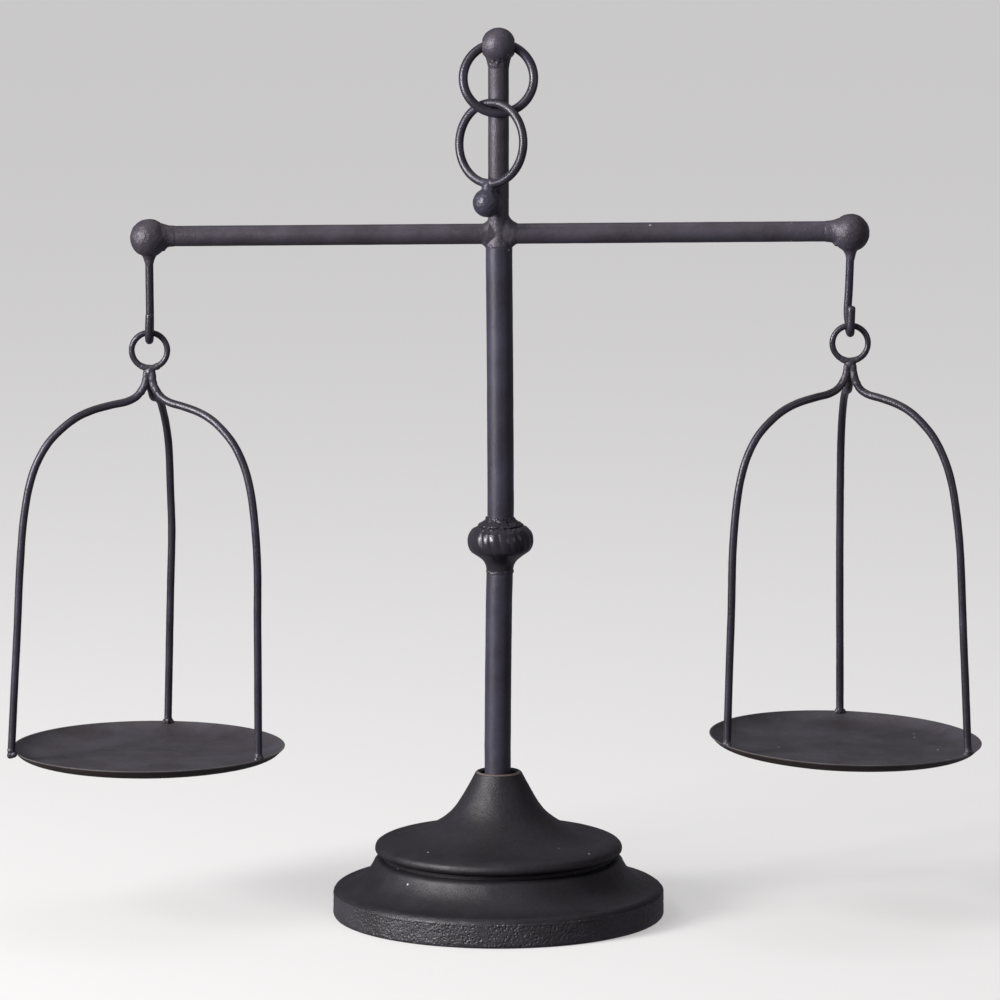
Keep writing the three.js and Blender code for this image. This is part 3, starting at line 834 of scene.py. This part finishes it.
def arm_with_fillets(side):
    """The root of an arm, made deeper by weld that fills the corners above and below it."""
    line = straight(side["root"], side["root"] + side["outward"] * ARM_ROOT, 0.5)
    swell = np.interp(np.linspace(0, ARM_ROOT, len(line)), [0, 8, 11, ARM_ROOT],
                      [0.12, 0.12, 0.03, -0.3])
    vertices, faces = sweep(line, BEAM_RADIUS + swell, 48)
    above, below = side["fillets"]
    out = np.array(vertices, float)
    for i, v in enumerate(out):
        along = (v - side["root"]).dot(side["outward"])
        axis = side["root"][2] + side["outward"][2] * along
        leg, corner = (above, MAST_RADIUS) if v[2] > axis else (below, POST_RADIUS - 0.3)
        near = 1 - min(1, max(0, (along - corner) / leg))
        fill = leg * (0.45 * near + 0.55 * (1 - math.sqrt(1 - near * near)))
        out[i][2] = axis + (v[2] - axis) * (1 + fill / BEAM_RADIUS)
    return out, faces


def crossing():
    """The weld where the two arms meet the mast above the end of the post, with six pinholes."""
    centre = SIDES["left"]["root"]
    blend = [(-8.4, 7.7), (-7.6, 8.1), (-6.6, 8.2), (-5.2, 7.75), (-3.6, 7.2), (-1.5, 6.75),
             (2, 6.5), (6, 6.4), (9.5, 6.3), (12, 5.9)]
    parts = [trumpet(centre, (0, 0, 1), blend, 3, lump=0.12)]
    parts += [arm_with_fillets(side) for side in SIDES.values()]
    vertices, faces = fused(parts, 0.38, 8)
    for point, size, depth in [
        ((2.2, -6.9, -5.2), 0.8, 1.0), ((-4.6, -6.2, -6.6), 1.0, 1.1),
        ((5.4, -4.2, 5.2), 0.6, 0.5), ((-5.4, -4.6, -3.6), 0.7, 0.7),
        ((6.2, -4.9, -3.0), 0.6, 0.6), ((-3.2, -5.6, 5.6), 0.6, 0.5),
    ]:
        at = centre + point
        inward = centre + np.array([0, 0, point[2]]) - at
        vertices = dimple(vertices, at, size, depth, inward / np.linalg.norm(inward))
    return lumpy((vertices, faces), 0.13, 2.6)


piece("mast_rod", mast_rod(), rod_iron, "stand", ["mast"])
piece("finial", finial_ball(), rod_iron, "stand", ["finial_ball"])
piece("finial_weld", finial_flare(), weld_iron, "stand")
place_beam()
for name, side in SIDES.items():
    piece(f"{name}_beam_arm", beam_arm(side), rod_iron, "stand", [f"{name}_arm"])
for name, side, seed in [("left", SIDES["left"], 3), ("right", SIDES["right"], 9)]:
    piece(f"{name}_ball", end_ball(side, seed), rod_iron, "stand", [f"{name}_end_ball"],
          crease=180)
piece("crossing_weld", crossing(), rod_iron, "stand", crease=180)


# ---- hooks, pan rings, hangers, pans -------------------------------------------------------------

def hook_path(side, x):
    """Shank, half-round bend and leg. The shank and the leg lean a little sideways."""
    top = side["ball"][2] - 9.4
    bend = side["hook_bottom"] + HOOK_BEND
    shank_sway, leg_sway = side["sway"]
    points = [(x, 0, top), (x + shank_sway / 2, 0, (top + bend) / 2), (x + shank_sway, 0, bend + 6)]
    for step in range(9):
        a = math.pi * step / 8
        lean = shank_sway * 0.5 * max(0, math.cos(a))
        points.append((x + lean, -HOOK_BEND + HOOK_BEND * math.cos(a),
                       bend - HOOK_BEND * math.sin(a)))
    points.append((x + leg_sway, -2 * HOOK_BEND, bend + 12))
    return smooth_line(points, 8)


def rim_rise(side, x, y):
    """How much a tilted pan's rim is raised at a place off its axis."""
    about_x, about_y = (math.radians(a) for a in side["tilt"])
    return y * math.tan(about_x) - x * math.tan(about_y)


def pan_dish(side, seed):
    """Pressed sheet: a nearly flat floor, and a low rim that turns up steeply."""
    outline = chain(
        straight((0, -PAN_DEPTH), (30, -PAN_DEPTH), 3),
        smooth_line([(30, -PAN_DEPTH), (60, -7.1), (72.8, -6.1), (78.4, -4.1), (81.4, -1.4),
                     (82.5, -0.4)], 8),
        smooth_line([(82.5, -0.4), (82.65, -0.1), (82.3, 0.05), (81.6, -0.05)], 3),
        smooth_line([(81.6, -0.05), (80.9, -0.6), (79.7, -1.5), (77.1, -3.0), (72.1, -4.7),
                     (60, -5.7), (30, -6.2)], 8),
        straight((30, -6.2), (0, -6.2), 3),
    )
    vertices, faces = lathe(outline, 240)
    out = vertices.copy()
    for i, (x, y, z) in enumerate(vertices):
        at = Vector((x / 42, y / 42, seed))
        lift = 0.3 * noise.noise(at) * min(1, max(0.25, (82 - math.hypot(x, y)) / 14))
        out[i] = (x, y, z + lift)
    about_x, about_y = (math.radians(a) for a in side["tilt"])
    turn = np.array((Matrix.Rotation(about_x, 3, "X") @ Matrix.Rotation(about_y, 3, "Y")))
    return moved((out, faces), turn, side["pan"])


def hanger_line(side, ring_bottom, azimuth, twist, foot_out, reach):
    """Centre line and radii of one hanger wire. It thins where the three wires meet."""
    foot_turn = math.radians(azimuth)
    rim = side["pan"][2] + rim_rise(side, foot_out * math.cos(foot_turn),
                                    foot_out * math.sin(foot_turn))
    foot_z = rim - OUTSIDE_DROP if foot_out > PAN_RADIUS else rim + GAP + ON_RIM_LIFT
    upper, lower = reach
    stations = []
    for i, (out, up) in enumerate(HANGER_BEND):
        share = upper + (lower - upper) * (i / (len(HANGER_BEND) - 1)) ** 2
        stations.append((out if i < 2 else out * share, up))
    last_out, last_up = stations[-1]
    for left in (2 / 3, 1 / 3, 0):
        stations.append((foot_out + (last_out - foot_out) * left, last_up * left))
    points = []
    for out, up in stations:
        turn = math.radians(azimuth + twist * min(1, up / last_up))
        drift = min(1, out / HANGER_DRIFT_END)
        axis_x = side["ball"][0] + (side["pan"][0] - side["ball"][0]) * drift
        points.append((axis_x + out * math.cos(turn), side["pan"][1] + out * math.sin(turn),
                       foot_z + (ring_bottom - foot_z) * up))
    line = smooth_line(points, 9)
    thin = np.interp(np.arange(len(line)), [0, 8, 18], [0.82, 0.93, 1.0])
    return line, HANGER_WIRE * thin * uneven(line, 0.035, 6)


def foot_weld(end, azimuth, foot_out):
    """The weld that joins a wire's foot to the rim. Its lumps are (around, out, up, radius)."""
    turn = math.radians(azimuth)
    out_dir = np.array([math.cos(turn), math.sin(turn), 0])
    around = np.array([-math.sin(turn), math.cos(turn), 0])
    if foot_out > PAN_RADIUS:
        lumps = [(0, -1.0, 0.8, 2.6), (1.7, -1.2, 0.6, 1.7), (-1.7, -1.0, 1.0, 1.8),
                 (0.1, 0.2, 0.2, 2.4), (0.1, 0.1, 3.0, 2.5)]
    else:
        lumps = [(0, 0.2, 0.3, 2.7), (1.9, 0.1, -0.5, 1.7), (-2.1, 0.1, -0.5, 1.6),
                 (0.2, 0.7, -0.9, 1.6), (0, 0, 2.2, 2.35)]
    parts = [blob(size, end + around * shift + out_dir * out + np.array([0, 0, up]), 12, 20)
             for shift, out, up, size in lumps]
    vertices, faces = fused(parts, 0.3, 5)
    return roughen(vertices, 0.3, 1.9, azimuth / 30, centre=end), faces


def ring_knot(ring, ring_centre, stubs):
    """The weld that gathers the tops of three hanger wires under the pan's ring."""
    arc = [p for p in ring if p[2] < ring_centre[2] - RING_RADIUS + 1.6]
    arc = np.array(sorted(arc, key=lambda p: p[0]))
    lump_at = ring_centre - (0, 0, RING_RADIUS + RING_WIRE + GAP + 0.2)
    lump = moved(lathe(ball_outline(3.0, 14), 24), np.diag([1, 1, 0.95]), lump_at)
    return lumpy(fused(stubs + [sweep(arc, RING_WIRE + 0.2, 22), lump], 0.33, 5), 0.25, 2.4)


def hang_pan(name, side, seed):
    """A hook, and the ring, wires, welds and dish that hang from it as one body."""
    body = f"{name}_pan"
    hook = sweep(hook_path(side, side["ball"][0]), HOOK_WIRE, 28, edge=1.5)
    piece(f"{name}_hook_wire", hook, wire_iron, "stand", [f"{name}_hook"])
    ring_centre = middle(f"{name}_pan_ring")
    ring = circle_path(ring_centre, (1, 0, 0), (0, 0, 1), RING_RADIUS, 80)
    ring_wire = sweep(ring, RING_WIRE * uneven(ring, 0.05, 5), 22, closed=True)
    piece(f"{name}_ring", ring_wire, wire_iron, body, [f"{name}_pan_ring"])

    ring_bottom = ring_centre[2] - RING_RADIUS - RING_WIRE - GAP
    stubs = []
    for place, (azimuth, twist, foot_out, reach) in side["feet"].items():
        line, radii = hanger_line(side, ring_bottom, azimuth, twist, foot_out, reach)
        line = wander(line, 0.3, 34, seed + azimuth / 50)
        piece(f"{name}_wire_{place}", sweep(line, radii, 22), wire_iron, body,
              [f"{name}_hanger_{place}"])
        stubs.append(sweep(line[:16], radii[:16] + 0.2, 22))
        piece(f"{name}_foot_weld_{place}", foot_weld(line[-1], azimuth, foot_out), weld_iron,
              body, crease=180)
    piece(f"{name}_ring_weld", ring_knot(ring, ring_centre, stubs), weld_iron, body,
          crease=180)

    # the outermost band of the rim, which gets the lighter wear and painted highlight
    def on_edge(x, y, z, normal):
        return math.hypot(x - side["pan"][0], y - side["pan"][1]) > PAN_RADIUS - 0.75

    # faces that look down, which get the painted shade and reflection
    def underneath(x, y, z, normal):
        return normal.z < -0.15

    dish = piece(f"{name}_dish", pan_dish(side, seed), pan_iron, body, [f"{name}_pan"])
    # painted shade and reflection on the faces that look down
    paint(dish, bottom_shade_and_reflection, underneath)
    # wear and a painted highlight on the rim's edge
    paint(dish, rim_wear_and_highlight, on_edge)


hang_pan("left", SIDES["left"], 1)
hang_pan("right", SIDES["right"], 2)


# ---- loose rings and pendant ---------------------------------------------------------------------

# The upper ring turns on the middle of its wire's arc inside the finial. It hangs forwards of the
# mast, and the lower ring sits on its lowest point.
ring_bend = UPPER_RING_RADIUS - math.sqrt(UPPER_RING_RADIUS ** 2 - finial_radius ** 2)
pivot = finial_centre - (0, 0, CROSS_HOLE_DROP)
pivot_to_centre = UPPER_RING_RADIUS - ring_bend / 2
forward = MAST_RADIUS + UPPER_RING_WIRE + GAP + UPPER_RING_STAND_OFF
lean = math.asin(forward / (pivot_to_centre + UPPER_RING_RADIUS))
upper_down = np.array([0, -math.sin(lean), -math.cos(lean)])
upper_centre = pivot + upper_down * pivot_to_centre
upper = circle_path(upper_centre, (1, 0, 0), upper_down, UPPER_RING_RADIUS, 128)
upper_radii = UPPER_RING_WIRE * LOOSE_RING_SWELL * uneven(upper, 0.03, 7)
piece("upper_loop", sweep(upper, upper_radii, 28, closed=True), wire_iron, "upper_ring",
      ["upper_ring"])

link_point = pivot + upper_down * (pivot_to_centre + UPPER_RING_RADIUS)
lower_top = link_point + LINK_OFFSET
lower_centre = lower_top + LOWER_RING_DOWN * LOWER_RING_RADIUS
lower_across = np.array([math.cos(LOWER_RING_TURN), -math.sin(LOWER_RING_TURN), 0])
lower_across -= LOWER_RING_DOWN * lower_across.dot(LOWER_RING_DOWN)
lower_across /= np.linalg.norm(lower_across)
lower = circle_path(lower_centre, lower_across, LOWER_RING_DOWN, LOWER_RING_RADIUS, 128)
lower_radii = LOWER_RING_WIRE * LOOSE_RING_SWELL * uneven(lower, 0.03, 7)
piece("lower_loop", sweep(lower, lower_radii, 28, closed=True), wire_iron, "lower_ring",
      ["lower_ring"])


def pendant():
    """The ball with its neck of weld up to the ring, as one skin."""
    ring_low = lower_top + LOWER_RING_DOWN * 2 * LOWER_RING_RADIUS
    centre = ring_low + LOWER_RING_DOWN * (LOWER_RING_WIRE + PENDANT_RADIUS + PENDANT_DROP)
    centre = centre + PENDANT_ASIDE
    neck = [(3, 5.2), (6.2, 4.9), (7.6, 4.4), (8.8, 4.1), (10, 4.1), (11, 3.9), (12.4, 2.8)]
    parts = [blob(PENDANT_RADIUS, centre, 40, 64),
             trumpet(centre, -LOWER_RING_DOWN, neck, 12, 28, 0.3)]
    near = [p for p in lower if np.linalg.norm(p - ring_low) < 5.2]
    near = np.array(sorted(near, key=lambda p: (p - ring_low).dot(lower_across)))
    parts.append(sweep(near, LOWER_RING_WIRE + 0.3, 22))
    vertices, faces = fused(parts, 0.33, 5)
    return roughen(vertices, 0.2, 4, 7, centre=centre), faces


piece("pendant", pendant(), tube_iron, "lower_ring", ["pendant_ball"], crease=180)


# ---- fasteners inside the base and post ----------------------------------------------------------

for node in ("tie_rod", "tie_washer", "tie_nut", "post_plug"):
    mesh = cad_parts[node].data
    mesh.materials.clear()
    mesh.materials.append(zinc_steel)


# ---- floor, light and camera ---------------------------------------------------------------------

def floor_paint(colour):
    """A matt floor that also glows in its own colour, which keeps it pale far from the lights."""
    material = bpy.data.materials.new("pale_floor")
    material.use_nodes = True
    shader = material.node_tree.nodes["Principled BSDF"]
    shader.inputs["Base Color"].default_value = (*colour, 1)
    shader.inputs["Roughness"].default_value = 0.75
    shader.inputs["Specular IOR Level"].default_value = 0.2
    shader.inputs["Emission Color"].default_value = (*colour, 1)
    shader.inputs["Emission Strength"].default_value = 1.0
    return material


floor_mesh = bpy.data.meshes.new("floor")
disc = bmesh.new()
bmesh.ops.create_circle(disc, cap_ends=True, segments=96, radius=30)
disc.to_mesh(floor_mesh)
disc.free()
floor_mesh.materials.append(floor_paint((0.42, 0.415, 0.41)))
floor = bpy.data.objects.new("floor", floor_mesh)
link(floor)
floor.visible_diffuse = False  # the scale is lit by the lights alone, and does not mirror the floor
floor.visible_glossy = False

world = bpy.data.worlds.new("studio")
world.use_nodes = True
world.node_tree.nodes["Background"].inputs["Color"].default_value = (0.84, 0.81, 0.92, 1)
world.node_tree.nodes["Background"].inputs["Strength"].default_value = 0.2
bpy.context.scene.world = world


def area_light(name, place, target, size, power):
    """A soft light that looks at a target. Sizes are in metres, the power in watts."""
    light = bpy.data.lights.new(name, "AREA")
    light.shape = "RECTANGLE"
    light.size, light.size_y = size
    light.energy = power
    obj = bpy.data.objects.new(name, light)
    obj.location = place
    look = Vector(target) - Vector(place)
    obj.rotation_euler = look.to_track_quat("-Z", "Y").to_euler()
    link(obj)


area_light("key", (-2.1, -1.3, 1.05), (0, 0, 0.25), (0.8, 1.1), 112)
area_light("fill", (1.9, -1.6, 1.1), (0, 0, 0.25), (1.2, 1.2), 5)
area_light("top", (0.1, 0.5, 2.1), (0, 0, 0.2), (1.4, 1.0), 5)
daylight = bpy.data.lights.new("daylight", "SUN")
daylight.energy = 0.95
daylight.angle = math.radians(25)
sky = bpy.data.objects.new("daylight", daylight)
sky.rotation_euler = Vector((1.9, 1.25, -2.4)).to_track_quat("-Z", "Y").to_euler()
link(sky)

camera = bpy.data.cameras.new("camera")
camera.sensor_width = 36
camera.lens = 241.2
camera.clip_start, camera.clip_end = 0.1, 200
viewer = bpy.data.objects.new("camera", camera)
viewer.location = (0.0009, -4.0, 0.86804)
viewer.rotation_euler = (math.radians(90 - 8.713), 0, 0)
link(viewer)
bpy.context.scene.camera = viewer
bpy.context.scene.view_settings.view_transform = "Standard"
